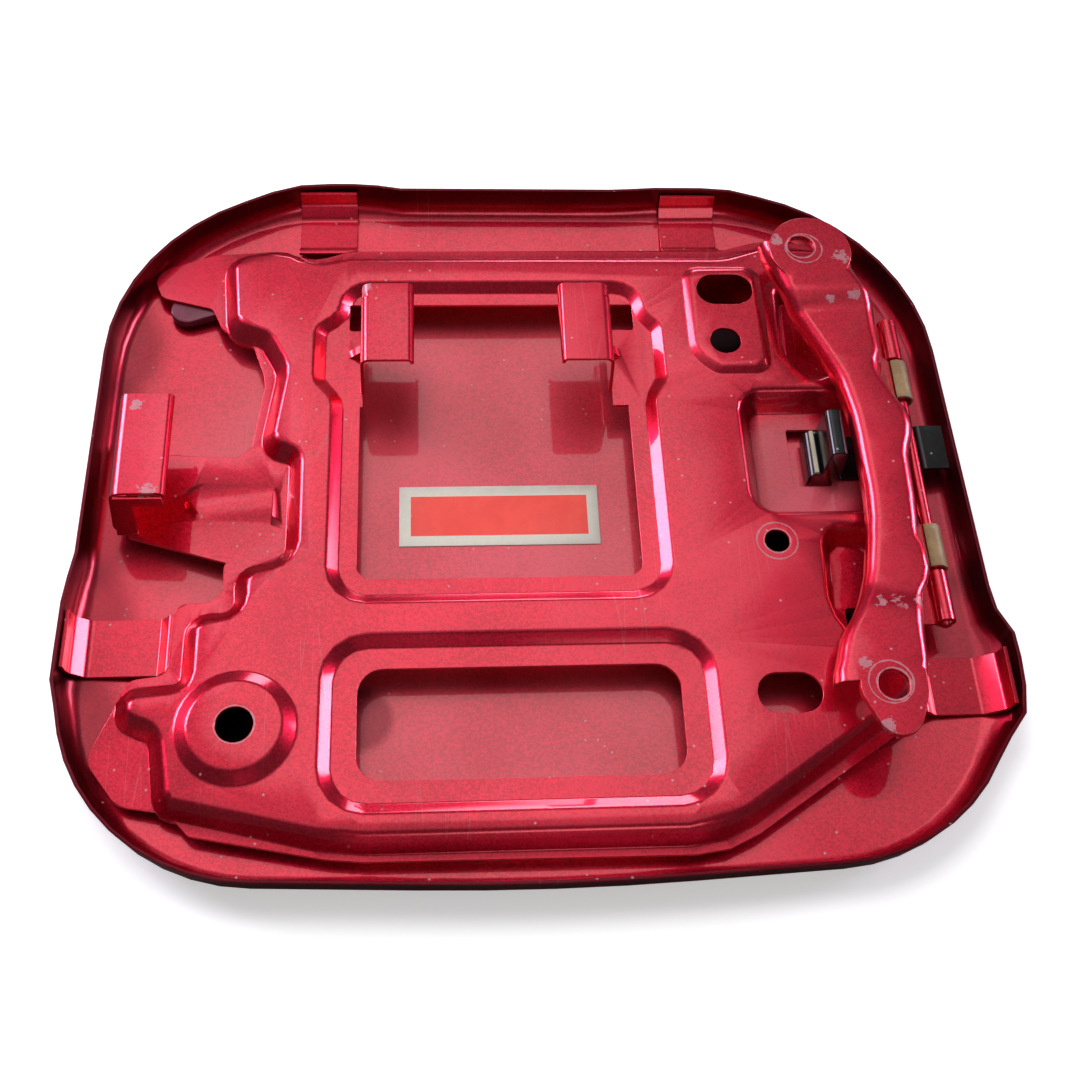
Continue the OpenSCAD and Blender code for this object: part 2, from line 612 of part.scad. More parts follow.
module hinge_arm() {
    color(paint)
    difference() {
        union() {
            arm_channel();
            ear_plates();
            eye(bushes[0]);
            eye(bushes[1]);
        }
        translate([bolt_top[0], bolt_top[1], 10]) cylinder(d = bolt_d, h = 15);
        translate([bolt_low[0], bolt_low[1], 10]) cylinder(d = bolt_d, h = 15);
        translate([hinge_x, -40, hinge_z]) rotate([-90, 0, 0]) cylinder(r = pin_d / 2 + pin_clear, h = 90);
    }
}

module hinge_pin() {
    y0 = knuckles[1][0] - 0.8;
    y1 = knuckles[0][1] + 0.6;
    color(paint)
    translate([hinge_x, y0, hinge_z]) rotate([-90, 0, 0]) rotate_extrude()
        polygon([[0, 0], [pin_d / 2 - 0.4, 0], [pin_d / 2, 0.4], [pin_d / 2, y1 - y0 - 0.4],
            [pin_d / 2 - 0.4, y1 - y0], [0, y1 - y0]]);
}

// Split bush clipped over an eye, its slit facing the lug.
module bush(y) {
    translate([hinge_x, y, hinge_z]) difference() {
        rotate([-90, 0, 0]) cylinder(r = bush_r, h = bush_l);
        translate([0, -1, 0]) rotate([-90, 0, 0]) cylinder(r = bush_r_in, h = bush_l + 2);
        rotate([0, -lug_angle, 0]) translate([0, -1, -0.65]) cube([6, bush_l + 2, 1.3]);
    }
}

module upper_bush() {
    color(bronze) bush(bushes[0]);
}

module lower_bush() {
    color(bronze) bush(bushes[1]);
}

// Leaf spring: hooked into the panel, folded up into a loop, flat end beyond the pin.
leaf_y = 4.6;
leaf_z = seat_h + leaf_t / 2 + 0.04;
leaf_x = spring_at[0] - 0.9;
leaf_path = [
    [leaf_x, 2.3], [leaf_x, 6.6, 1.3], [leaf_x + 2.6, 6.6, 0.8], [leaf_x + 3, leaf_h - leaf_t / 2, 1.1],
    [leaf_x + 6.3, leaf_h - leaf_t / 2, 1.1], [leaf_x + 6.7, leaf_z, 0.9], [leaf_x + 13.3, leaf_z, 2],
    [hinge_x - 5.8, hinge_z - 3.6, 2], [hinge_x + 1.2, hinge_z - 3.6, 1.4],
    [hinge_x + 3.2, 8.8, 1.2], [hinge_x + 8.8, 8.8]];

module leaf_spring() {
    color(black_steel)
    translate([0, leaf_y + leaf_w, 0]) rotate([90, 0, 0])
        linear_extrude(leaf_w) polygon(strip(leaf_path, leaf_t, 6));
}

module spring_liner() {
    color(bronze)
    translate([leaf_x + 0.8, leaf_y + 0.2, 6.6 + leaf_t / 2]) cube([0.9, leaf_w - 0.4, 0.7]);
}

module label() {
    color([0.80, 0.82, 0.80])
    translate([cap_x + 0.4, cap_y - 17.4, skin_t]) linear_extrude(label_t) rounded_2d(label_w, label_d, 0.4);
}

// Dabs of mastic that tie the two feet to the skin.
module dab(place, l, w, turn) {
    translate([place[0], place[1], 3]) rotate([0, 0, turn]) linear_extrude(lip_h - panel_t - 3.02) slot_2d(l, w);
}

module upper_mastic() {
    color([0.36, 0.05, 0.12]) dab(at([-78, 55]), 15, 8, 20);
}

module lower_mastic() {
    color([0.36, 0.05, 0.12]) dab(at([-83, -61]), 12, 8, 75);
}

outer_skin();
inner_panel();
hinge_arm();
hinge_pin();
upper_bush();
lower_bush();
leaf_spring();
spring_liner();
label();
upper_mastic();
lower_mastic();
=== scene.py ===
"""Car fuel door seen on its inner side: finishes, finer pieces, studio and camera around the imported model."""
import json
import logging
import math
from dataclasses import dataclass
from enum import Enum

import bpy
from mathutils import Matrix, Vector


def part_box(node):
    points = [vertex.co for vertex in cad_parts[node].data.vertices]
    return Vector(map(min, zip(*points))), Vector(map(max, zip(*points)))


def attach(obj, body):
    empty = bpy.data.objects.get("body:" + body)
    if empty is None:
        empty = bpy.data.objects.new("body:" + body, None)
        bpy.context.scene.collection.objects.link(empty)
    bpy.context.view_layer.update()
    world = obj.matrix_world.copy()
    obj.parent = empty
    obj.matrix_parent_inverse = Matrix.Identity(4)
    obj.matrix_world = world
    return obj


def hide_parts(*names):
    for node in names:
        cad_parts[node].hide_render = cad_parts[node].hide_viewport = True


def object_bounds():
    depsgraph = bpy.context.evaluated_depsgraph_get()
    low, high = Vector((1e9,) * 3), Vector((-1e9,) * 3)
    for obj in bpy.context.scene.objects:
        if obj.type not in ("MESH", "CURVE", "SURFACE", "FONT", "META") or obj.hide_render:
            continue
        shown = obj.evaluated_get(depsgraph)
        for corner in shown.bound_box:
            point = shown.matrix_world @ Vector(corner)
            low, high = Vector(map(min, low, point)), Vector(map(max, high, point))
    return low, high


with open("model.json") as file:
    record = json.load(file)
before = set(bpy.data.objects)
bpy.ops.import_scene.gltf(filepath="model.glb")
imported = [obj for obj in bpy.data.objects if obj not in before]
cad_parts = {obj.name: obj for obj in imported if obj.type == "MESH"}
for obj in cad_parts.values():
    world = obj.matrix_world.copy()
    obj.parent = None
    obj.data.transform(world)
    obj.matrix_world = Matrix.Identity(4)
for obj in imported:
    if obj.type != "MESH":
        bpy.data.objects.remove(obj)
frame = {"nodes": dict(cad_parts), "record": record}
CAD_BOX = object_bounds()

LOG = logging.getLogger("fuel_door")
MM = 0.001
Colour = tuple[float, float, float]
Point = tuple[float, float, float]
Socket = bpy.types.NodeSocket
Tree = bpy.types.NodeTree


class Body(Enum):
    """The two bodies that the pieces ride on."""

    DOOR = "door"
    ARM = "arm"


def rgba(colour: Colour) -> tuple[float, float, float, float]:
    """Give a colour its full alpha."""
    return (*colour, 1.0)


def mount_place(name: str, height: float) -> Point:
    """Find where a mount of the record lies, at a height of its own.

    Args:
        name: the mount.
        height: the height to use, in millimetres.

    Returns:
        The place in millimetres.
    """
    place = next(mount["pos_m"] for mount in frame["record"]["mounts"] if mount["name"] == name)
    return (place[0] / MM, place[1] / MM, height)


def opening_place(name: str, height: float) -> Point:
    """Find the middle of an opening of the record, at a height of its own.

    Args:
        name: the opening.
        height: the height to use, in millimetres.

    Returns:
        The place in millimetres.
    """
    openings = frame["record"]["physics"]["openings"]
    low, high = next(opening["box_m"] for opening in openings if opening["name"] == name)
    return ((low[0] + high[0]) / 2 / MM, (low[1] + high[1]) / 2 / MM, height)


# Node trees


class Graph:
    """A node tree being wired, with short calls for adding and joining nodes."""

    def __init__(self, tree: Tree) -> None:
        """Keep the tree that the nodes go into."""
        self.tree = tree

    def give(self, socket: Socket, value: object) -> None:
        """Link a socket to another or set its value.

        Args:
            socket: the input socket.
            value: an output socket, or the value to set.
        """
        if isinstance(value, Socket):
            self.tree.links.new(value, socket)
        else:
            socket.default_value = value

    def add(self, kind: str, inputs: dict | None = None, **settings: object) -> bpy.types.Node:
        """Add a node, set its properties, and set or link its inputs.

        Args:
            kind: the node's type name without the ShaderNode prefix.
            inputs: values or output sockets by input name or index.
            settings: properties of the node itself.

        Returns:
            The new node.
        """
        node = self.tree.nodes.new("ShaderNode" + kind)
        for key, value in settings.items():
            setattr(node, key, value)
        for key, value in (inputs or {}).items():
            self.give(node.inputs[key], value)
        return node

    def math(self, operation: str, *values: float | Socket) -> Socket:
        """Add a Math node over the given values or sockets and return its result."""
        return self.add("Math", dict(enumerate(values)), operation=operation).outputs[0]

    def times(self, first: float | Socket, second: float | Socket) -> Socket:
        """Multiply two values."""
        return self.math("MULTIPLY", first, second)

    def rest(self, share: Socket) -> Socket:
        """Give what a share leaves of one."""
        return self.math("SUBTRACT", 1.0, share)

    def most(self, first: Socket, second: Socket) -> Socket:
        """Give the larger of two values."""
        return self.math("MAXIMUM", first, second)

    def span(self, value: Socket, low: float, high: float, to_low: float = 0.0, to_high: float = 1.0) -> Socket:
        """Map a value from one range to another with soft ends.

        Args:
            value: the socket that is mapped.
            low: where the mapped range starts.
            high: where the mapped range ends.
            to_low: the result at the start.
            to_high: the result at the end.

        Returns:
            The mapped socket.
        """
        node = self.add("MapRange", {0: value, 1: low, 2: high, 3: to_low, 4: to_high},
                        interpolation_type="SMOOTHSTEP")
        return node.outputs[0]

    def mix(self, share: float | Socket, first: Colour | Socket, second: Colour | Socket) -> Socket:
        """Mix two colours.

        Args:
            share: how much of the second colour is in the mix.
            first: the first colour.
            second: the second colour.

        Returns:
            The mixed colour.
        """
        node = self.add("Mix", data_type="RGBA")
        self.give(node.inputs[0], share)
        for key, colour in ((6, first), (7, second)):
            self.give(node.inputs[key], colour if isinstance(colour, Socket) else rgba(colour))
        return node.outputs[2]

    def noise(self, vector: Socket, scale: float | Socket, detail: float = 2.0, rough: float = 0.5) -> Socket:
        """Add a Noise texture and return its factor."""
        node = self.add("TexNoise", {"Vector": vector, "Scale": scale, "Detail": detail,
                                     "Roughness": rough})
        return node.outputs[0]

    def cells(self, vector: Socket, scale: float | Socket, **settings: object) -> bpy.types.Node:
        """Add a Voronoi texture and return the node."""
        return self.add("TexVoronoi", {"Vector": vector, "Scale": scale}, **settings)

    def channel(self, colour: Socket, index: int) -> Socket:
        """Take one channel of a colour."""
        return self.add("SeparateColor", {"Color": colour}).outputs[index]

    def height(self, vector: Socket) -> Socket:
        """Take the Z part of a vector."""
        return self.add("SeparateXYZ", {0: vector}).outputs[2]

    def combined(self, operation: str, first: Socket, second: Point | Socket) -> Socket:
        """Reduce two vectors to one value."""
        return self.add("VectorMath", {0: first, 1: second}, operation=operation).outputs["Value"]

    def stretched(self, vector: Socket, scale: Point, turn: float = 0.0) -> Socket:
        """Scale and turn coordinates about Z and return them."""
        node = self.add("Mapping", {"Vector": vector, "Scale": scale,
                                    "Rotation": (0.0, 0.0, math.radians(turn))})
        return node.outputs[0]


def effect(name: str, inputs: dict[str, str], outputs: dict[str, str]) -> tuple[Graph, dict, dict]:
    """Start a shader node group.

    Args:
        name: the group's name.
        inputs: the kind of each input, by name: Float, Vector or Color.
        outputs: the kind of each output, by name.

    Returns:
        The graph, the group's inputs as sockets, and the sockets that its outputs are linked to.
    """
    tree = bpy.data.node_groups.new(name, "ShaderNodeTree")
    for kinds, side in ((inputs, "INPUT"), (outputs, "OUTPUT")):
        for port, kind in kinds.items():
            tree.interface.new_socket(port, in_out=side, socket_type="NodeSocket" + kind)
    start = tree.nodes.new("NodeGroupInput")
    end = tree.nodes.new("NodeGroupOutput")
    return (Graph(tree), {k: start.outputs[k] for k in inputs}, {k: end.inputs[k] for k in outputs})


@dataclass
class Effects:
    """The node groups that the finishes share, each built once; scales are repeats in a metre."""

    peel: Tree | None = None
    flake: Tree | None = None
    dust: Tree | None = None
    scratch: Tree | None = None
    spot: Tree | None = None
    ring: Tree | None = None
    patch: Tree | None = None
    edge: Tree | None = None

    def build(self) -> "Effects":
        """Build every group and return them."""
        self.peel = self.sprayed_peel()
        self.flake = self.metal_flake()
        self.dust = self.fine_dust()
        self.scratch = self.handling_scratches()
        self.spot = self.ragged_spot()
        self.ring = self.worn_ring()
        self.patch = self.soft_patch()
        self.edge = self.rubbed_edge()
        return self

    @staticmethod
    def sprayed_peel(sheet_waves: float = 55.0) -> Tree:
        """Orange peel of sprayed paint over a slightly wavy sheet.

        Args:
            sheet_waves: the scale of the waves.

        Returns:
            The group, which gives a normal.
        """
        g, a, z = effect("sprayed_peel", {"Vector": "Vector", "Peel": "Float", "Wave": "Float",
                                          "Peel Scale": "Float"}, {"Normal": "Vector"})
        wave = g.noise(a["Vector"], sheet_waves, 1.0)
        slow = g.add("Bump", {"Height": wave, "Distance": a["Wave"], "Strength": 1.0})
        peel = g.noise(a["Vector"], a["Peel Scale"], 2.0, 0.6)
        fast = g.add("Bump", {"Height": peel, "Distance": a["Peel"], "Strength": 1.0,
                              "Normal": slow.outputs[0]})
        g.tree.links.new(fast.outputs[0], z["Normal"])
        return g.tree

    @staticmethod
    def metal_flake(clouds: float = 900.0, flake_share: float = 0.6) -> Tree:
        """Random tone of the metal flakes in the paint.

        Args:
            clouds: the scale of the clouds that the flakes gather in.
            flake_share: how much of the tone comes from the single flakes.

        Returns:
            The group, which gives a tone from 0 to 1.
        """
        g, a, z = effect("metal_flake", {"Vector": "Vector", "Scale": "Float"}, {"Tone": "Float"})
        flakes = g.channel(g.cells(a["Vector"], a["Scale"]).outputs["Color"], 0)
        cloud = g.noise(a["Vector"], clouds)
        tone = g.math("ADD", g.times(flakes, flake_share), g.times(cloud, 1.0 - flake_share))
        g.tree.links.new(tone, z["Tone"])
        return g.tree

    @staticmethod
    def fine_dust(specks: float = 700.0, patches: float = 38.0, films: float = 90.0) -> Tree:
        """Pale specks and a thin film on what faces up.

        Args:
            specks: the scale of the specks.
            patches: the scale of the patches in which specks lie.
            films: the scale of the film's clouds.

        Returns:
            The group, which gives a mask.
        """
        g, a, z = effect("fine_dust", {"Vector": "Vector", "Specks": "Float", "Film": "Float"},
                         {"Mask": "Float"})
        facing_up = g.span(g.height(g.add("NewGeometry").outputs["Normal"]), 0.55, 0.95)
        cells = g.cells(a["Vector"], specks, voronoi_dimensions="2D")
        speck = g.span(cells.outputs["Distance"], 0.10, 0.26, 1.0, 0.0)
        patch = g.span(g.noise(a["Vector"], patches, 2.0, 0.6), 0.42, 0.70)
        chosen = g.math("LESS_THAN", g.channel(cells.outputs["Color"], 1), g.times(patch, a["Specks"]))
        film = g.times(g.span(g.noise(a["Vector"], films, 3.0, 0.65), 0.45, 0.80), a["Film"])
        g.tree.links.new(g.times(g.most(g.times(speck, chosen), film), facing_up), z["Mask"])
        return g.tree

    @staticmethod
    def handling_scratches(across: float = 260.0, along: float = 14.0) -> Tree:
        """Short thin scratches in two directions.

        Args:
            across: the scale over the scratches' width.
            along: the scale over their length.

        Returns:
            The group, which gives a mask.
        """
        g, a, z = effect("handling_scratches", {"Vector": "Vector", "Amount": "Float"},
                         {"Mask": "Float"})
        lines = []
        for turn, finer in ((24.0, 1.0), (-57.0, 1.3)):
            grid = g.stretched(a["Vector"], (finer * across, finer * along, 1.0), turn)
            cells = g.cells(grid, 1.0, feature="DISTANCE_TO_EDGE", voronoi_dimensions="2D")
            thin = g.span(cells.outputs["Distance"], 0.0, 0.035, 1.0, 0.0)
            gaps = g.noise(g.stretched(a["Vector"], (60.0, 30.0, 30.0), turn), 1.0)
            lines.append(g.times(thin, g.span(gaps, 0.62, 0.72)))
        g.tree.links.new(g.times(g.most(*lines), a["Amount"]), z["Mask"])
        return g.tree

    @staticmethod
    def ragged_spot() -> Tree:
        """A ragged patch about a point.

        Returns:
            The group, which gives a mask.
        """
        g, a, z = effect("ragged_spot", {"Vector": "Vector", "Centre": "Vector", "Radius": "Float",
                                         "Rough": "Float"}, {"Mask": "Float"})
        near = g.math("DIVIDE", g.combined("DISTANCE", a["Vector"], a["Centre"]), a["Radius"])
        reach = g.math("ADD", near, g.span(a["Rough"], 0.25, 0.75, -0.75, 0.75))
        g.tree.links.new(g.span(reach, 0.62, 0.80, 1.0, 0.0), z["Mask"])
        return g.tree

    @staticmethod
    def worn_ring() -> Tree:
        """A thin broken ring about a point, such as a washer or a burr leaves.

        Returns:
            The group, which gives a mask.
        """
        g, a, z = effect("worn_ring", {"Vector": "Vector", "Centre": "Vector", "Radius": "Float",
                                       "Width": "Float", "Rough": "Float"}, {"Mask": "Float"})
        gap = g.combined("DISTANCE", a["Vector"], a["Centre"])
        off = g.math("DIVIDE", g.math("ABSOLUTE", g.math("SUBTRACT", gap, a["Radius"])), a["Width"])
        reach = g.math("ADD", off, g.span(a["Rough"], 0.3, 0.7, 0.5, -0.5))
        g.tree.links.new(g.span(reach, 0.45, 0.95, 1.0, 0.0), z["Mask"])
        return g.tree

    @staticmethod
    def soft_patch() -> Tree:
        """A patch about a point with a soft border.

        Returns:
            The group, which gives a mask.
        """
        g, a, z = effect("soft_patch", {"Vector": "Vector", "Centre": "Vector", "Radius": "Float"},
                         {"Mask": "Float"})
        near = g.math("DIVIDE", g.combined("DISTANCE", a["Vector"], a["Centre"]), a["Radius"])
        g.tree.links.new(g.span(near, 0.70, 1.05, 1.0, 0.0), z["Mask"])
        return g.tree

    @staticmethod
    def rubbed_edge(breaks: float = 320.0) -> Tree:
        """Where an edge is rubbed, from the gap between the true and the rounded normal.

        Args:
            breaks: the scale of the breaks along the edge.

        Returns:
            The group, which gives a mask.
        """
        g, a, z = effect("rubbed_edge", {"Vector": "Vector", "Reach": "Float", "Amount": "Float"},
                         {"Mask": "Float"})
        soft = g.add("Bevel", {"Radius": a["Reach"]}, samples=2)
        flat = g.add("NewGeometry")
        same = g.combined("DOT_PRODUCT", soft.outputs[0], flat.outputs["Normal"])
        edge = g.span(same, 0.80, 0.97, 1.0, 0.0)
        rough = g.span(g.noise(a["Vector"], breaks, 5.0, 0.7), 0.40, 0.62)
        g.tree.links.new(g.times(g.times(edge, rough), a["Amount"]), z["Mask"])
        return g.tree


# Finishes


@dataclass(frozen=True)
class Spot:
    """A round place on a finish, in millimetres; one with a width is a ring."""

    centre: Point
    radius: float
    width: float = 0.0

    def sockets(self) -> dict[str, object]:
        """Give the place as the inputs of a group, in metres."""
        ring = {"Width": self.width * MM} if self.width else {}
        return {"Centre": Vector(self.centre) * MM, "Radius": self.radius * MM, **ring}


class Finish:
    """A material being built, with its output, shader and coordinates in place."""

    def __init__(self, name: str) -> None:
        """Make the material and its Principled shader.

        Args:
            name: the material's name.
        """
        self.material = bpy.data.materials.new(name)
        self.material.use_nodes = True
        self.graph = Graph(self.material.node_tree)
        self.shader = self.material.node_tree.nodes["Principled BSDF"]
        self.place = self.graph.add("TexCoord").outputs["Object"]

    def set(self, **values: object) -> None:
        """Set or link sockets of the shader, whose names are written with underscores for spaces."""
        for key, value in values.items():
            self.graph.give(self.shader.inputs[key.replace("_", " ")], value)

    def use(self, tree: Tree, **values: object) -> Socket:
        """Place a group over the piece's own coordinates.

        Args:
            tree: the group.
            values: its other inputs, with underscores for spaces.

        Returns:
            The group's first output.
        """
        node = self.graph.add("Group", node_tree=tree)
        self.graph.tree.links.new(self.place, node.inputs["Vector"])
        for key, value in values.items():
            self.graph.give(node.inputs[key.replace("_", " ")], value)
        return node.outputs[0]


@dataclass(frozen=True)
class CandyPaint:
    """Glossy metallic red lacquer on pressed steel, with its wear, painted shade up the rim, and painted shadow
    and shade in given spots.

    Depths are in metres, heights and reaches in millimetres, scales in repeats a metre, amounts from 0 to 1.
    """

    name: str
    bright: Colour = (0.88, 0.014, 0.055)
    deep: Colour = (0.50, 0.004, 0.024)
    # Painted shade: the near black that the rim is darkened to.
    rim_shade_tone: Colour = (0.030, 0.001, 0.004)
    dust_tone: Colour = (0.62, 0.36, 0.38)
    bare: tuple[Colour, Colour] = ((0.58, 0.30, 0.34), (0.82, 0.62, 0.64))
    # Painted shadow: the near black laid under holes and the arm.
    unlit_tone: Colour = (0.012, 0.003, 0.004)
    # Painted shade: the dark red of the dim spots.
    painted_shade_tone: Colour = (0.16, 0.020, 0.030)
    metal: float = 0.92
    rough: float = 0.33
    coat_rough: float = 0.05
    flakes: float = 2600.0
    clouds: float = 26.0
    bare_clouds: float = 900.0
    rags: float = 460.0
    peel: float = 0.000010
    wave: float = 0.00020
    peel_scale: float = 620.0
    specks: float = 0.05
    film: float = 0.05
    scratches: float = 0.12
    edges: float = 0.0
    edge_reach: float = 0.35
    grime: float = 0.0
    # Painted shade up the rim: how strong it is, and between which heights in millimetres it grows.
    rim_shade: float = 0.0
    rim_shade_heights: tuple[float, float] = (3.0, 8.0)
    # Painted shade: how far the dim spots go towards their dark red.
    painted_shade_share: float = 0.55
    wearing: float = 0.62
    dust_cover: float = 0.65
    dulling: float = 0.30
    spots: tuple[Spot, ...] = ()
    grimy: tuple[Spot, ...] = ()
    # Painted shadow spots, which turn near black and lose their coat.
    unlit: tuple[Spot, ...] = ()
    # Painted shade spots, which darken and lose part of their coat.
    dim: tuple[Spot, ...] = ()

    def lacquer(self, f: Finish, effects: Effects, cloud: Socket, rim_shade: Socket) -> Socket:
        """Vary the red by its flakes and clouds, and paint shade on the rim.

        Args:
            f: the finish being built.
            effects: the shared groups.
            cloud: the slow clouds of the sprayed colour.
            rim_shade: how much painted shade lies on a point of the rim.

        Returns:
            The colour before dust and wear, with the rim's painted shade in it.
        """
        g = f.graph
        tone = g.math("ADD", g.times(f.use(effects.flake, Scale=self.flakes), 0.7), cloud)
        fresh = g.mix(g.span(tone, 0.45, 1.1, 0.15, 1.0), self.deep, self.bright)
        # Painted shade on the rim: the red is mixed towards a near black.
        return g.mix(rim_shade, fresh, self.rim_shade_tone)

    def dirt(self, f: Finish, effects: Effects, cloud: Socket) -> Socket:
        """Gather the fine dust and the grimy places.

        Args:
            f: the finish being built.
            effects: the shared groups.
            cloud: the slow clouds that thin the grime.

        Returns:
            The mask of the dirt.
        """
        g = f.graph
        dust = f.use(effects.dust, Specks=self.specks, Film=self.film)
        for spot in self.grimy:
            patch = g.times(f.use(effects.patch, **spot.sockets()), g.span(cloud, 0.2, 0.8, 0.6, 1.4))
            dust = g.most(dust, g.times(patch, self.grime))
        return dust

    def wear(self, f: Finish, effects: Effects) -> Socket:
        """Gather the scratches, the rubbed edges and the worn places.

        Args:
            f: the finish being built.
            effects: the shared groups.

        Returns:
            The mask of the bare metal.
        """
        g = f.graph
        worn = f.use(effects.scratch, Amount=self.scratches)
        if self.edges > 0:
            worn = g.most(worn, f.use(effects.edge, Reach=self.edge_reach * MM, Amount=self.edges))
        ragged = g.noise(f.place, self.rags, 4.0, 0.7) if self.spots else None
        for spot in self.spots:
            mark = f.use(effects.ring if spot.width else effects.spot, Rough=ragged, **spot.sockets())
            worn = g.most(worn, g.times(mark, self.wearing))
        return worn

    def build(self, effects: Effects) -> bpy.types.Material:
        """Wire the material.

        Args:
            effects: the shared groups.

        Returns:
            The finished material.
        """
        f = Finish(self.name)
        g = f.graph
        cloud = g.noise(f.place, self.clouds, 3.0)
        # Painted shade: darker up the rim, from the first height to the second, and the coat goes with it.
        rim_shade = g.span(g.height(f.place), *(height * MM for height in self.rim_shade_heights), 0.0, self.rim_shade)
        dust, worn = self.dirt(f, effects, cloud), self.wear(f, effects)
        colour = g.mix(g.times(dust, self.dust_cover), self.lacquer(f, effects, cloud, rim_shade), self.dust_tone)
        colour = g.mix(worn, colour, g.mix(g.noise(f.place, self.bare_clouds, 3.0), *self.bare))
        coat = g.times(g.rest(worn), g.rest(rim_shade))
        # Painted shadow in the unlit spots and painted shade in the dim ones: the colour is darkened and the
        # coat taken away.
        for spots, tone, share in ((self.unlit, self.unlit_tone, 1.0), (self.dim, self.painted_shade_tone, self.painted_shade_share)):
            for spot in spots:
                patch = g.times(f.use(effects.patch, **spot.sockets()), share)
                colour = g.mix(patch, colour, tone)
                coat = g.times(coat, g.rest(patch))
        f.set(Base_Color=colour, Metallic=g.times(g.rest(g.times(dust, 0.8)), self.metal),
              Roughness=g.math("ADD", self.rough, g.times(g.most(dust, worn), self.dulling)),
              Coat_Weight=coat, Coat_Roughness=self.coat_rough, Coat_IOR=1.5,
              Normal=f.use(effects.peel, Peel=self.peel, Wave=self.wave, Peel_Scale=self.peel_scale))
        return f.material


@dataclass(frozen=True)
class Moulded:
    """A plain moulded, rolled or printed finish with grain, speckle and fine scratches.

    Depths are in metres, scales in repeats a metre, amounts from 0 to 1.
    """

    name: str
    base: Colour
    shade: Colour
    edge: Colour
    rough: float
    metal: float = 0.0
    coat: float = 0.0
    grain: float = 0.000015
    grain_scale: float = 900.0
    wave: float = 0.00002
    clouds: float = 240.0
    scratches: float = 0.3
    specks: float = 0.03
    film: float = 0.08
    dust_tone: Colour = (0.55, 0.50, 0.48)
    dust_cover: float = 0.5
    dulling: float = 0.12

    def build(self, effects: Effects) -> bpy.types.Material:
        """Wire the material.

        Args:
            effects: the shared groups.

        Returns:
            The finished material.
        """
        f = Finish(self.name)
        g = f.graph
        patches = g.span(g.noise(f.place, self.clouds, 5.0, 0.65), 0.35, 0.65)
        rubbed = g.mix(f.use(effects.scratch, Amount=self.scratches),
                       g.mix(patches, self.base, self.shade), self.edge)
        dust = g.times(f.use(effects.dust, Specks=self.specks, Film=self.film), self.dust_cover)
        f.set(Base_Color=g.mix(dust, rubbed, self.dust_tone), Metallic=self.metal, Coat_Weight=self.coat,
              Roughness=g.math("ADD", self.rough, g.times(patches, self.dulling)),
              Normal=f.use(effects.peel, Peel=self.grain, Wave=self.wave, Peel_Scale=self.grain_scale))
        return f.material


# Shaping


def only(obj: bpy.types.Object) -> None:
    """Select and activate one object alone.

    Args:
        obj: the object.
    """
    bpy.ops.object.select_all(action="DESELECT")
    obj.select_set(True)
    bpy.context.view_layer.objects.active = obj


def applied(obj: bpy.types.Object, kind: str, **settings: object) -> None:
    """Add a modifier, set it and apply it.

    Args:
        obj: the object that gets it.
        kind: the modifier's type.
        settings: its properties.
    """
    only(obj)
    modifier = obj.modifiers.new(kind.lower(), kind)
    for key, value in settings.items():
        setattr(modifier, key, value)
    bpy.ops.object.modifier_apply(modifier=modifier.name)


def taken_over(node: str, name: str, weld: float = 0.003) -> bpy.types.Object:
    """Copy a CAD node's mesh and weld its loose triangles.

    Args:
        node: the CAD node.
        name: the new piece's name.
        weld: the gap that is welded, in millimetres.

    Returns:
        The new piece, which stands for the node.
    """
    mesh = frame["nodes"][node].data.copy()
    mesh.materials.clear()
    piece = bpy.data.objects.new(name, mesh)
    bpy.context.scene.collection.objects.link(piece)
    only(piece)
    bpy.ops.object.mode_set(mode="EDIT")
    bpy.ops.mesh.select_all(action="SELECT")
    bpy.ops.mesh.remove_doubles(threshold=weld * MM)
    bpy.ops.mesh.customdata_custom_splitnormals_clear()
    bpy.ops.object.mode_set(mode="OBJECT")
    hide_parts(node)
    return piece


def softened(piece: bpy.types.Object, width: float, sharp: float) -> None:
    """Round the sharp edges of a sheet and let its normals run smoothly over the creases.

    Args:
        piece: the piece.
        width: how wide the rounding is, in millimetres, or 0 for none.
        sharp: the angle in degrees from which an edge is rounded.
    """
    if width > 0:
        applied(piece, "BEVEL", width=width * MM, segments=2, limit_method="ANGLE",
                angle_limit=math.radians(sharp), use_clamp_overlap=False, harden_normals=False)
    only(piece)
    bpy.ops.object.shade_smooth_by_angle(angle=math.radians(sharp))
    applied(piece, "WEIGHTED_NORMAL", keep_sharp=True, weight=60)


def placed(piece: bpy.types.Object, body: Body, material: bpy.types.Material) -> None:
    """Dress a piece, tell its body, and report it.

    Args:
        piece: the piece.
        body: the body that it rides on.
        material: its finish.
    """
    piece.data.materials.clear()
    piece.data.materials.append(material)
    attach(piece, body.value)
    LOG.info("%s: %d faces on %s", piece.name, len(piece.data.polygons), body.value)


@dataclass(frozen=True)
class Dressing:
    """What a CAD node becomes: its piece's name, the rounding of its edges, its body and its slot."""

    node: str
    piece: str
    width: float
    sharp: float
    body: Body
    slot: str

    def make(self, material: bpy.types.Material) -> None:
        """Take the node over, round its edges and dress it.

        Args:
            material: its finish.
        """
        piece = taken_over(self.node, self.piece)
        softened(piece, self.width, self.sharp)
        placed(piece, self.body, material)


# Sub-assemblies


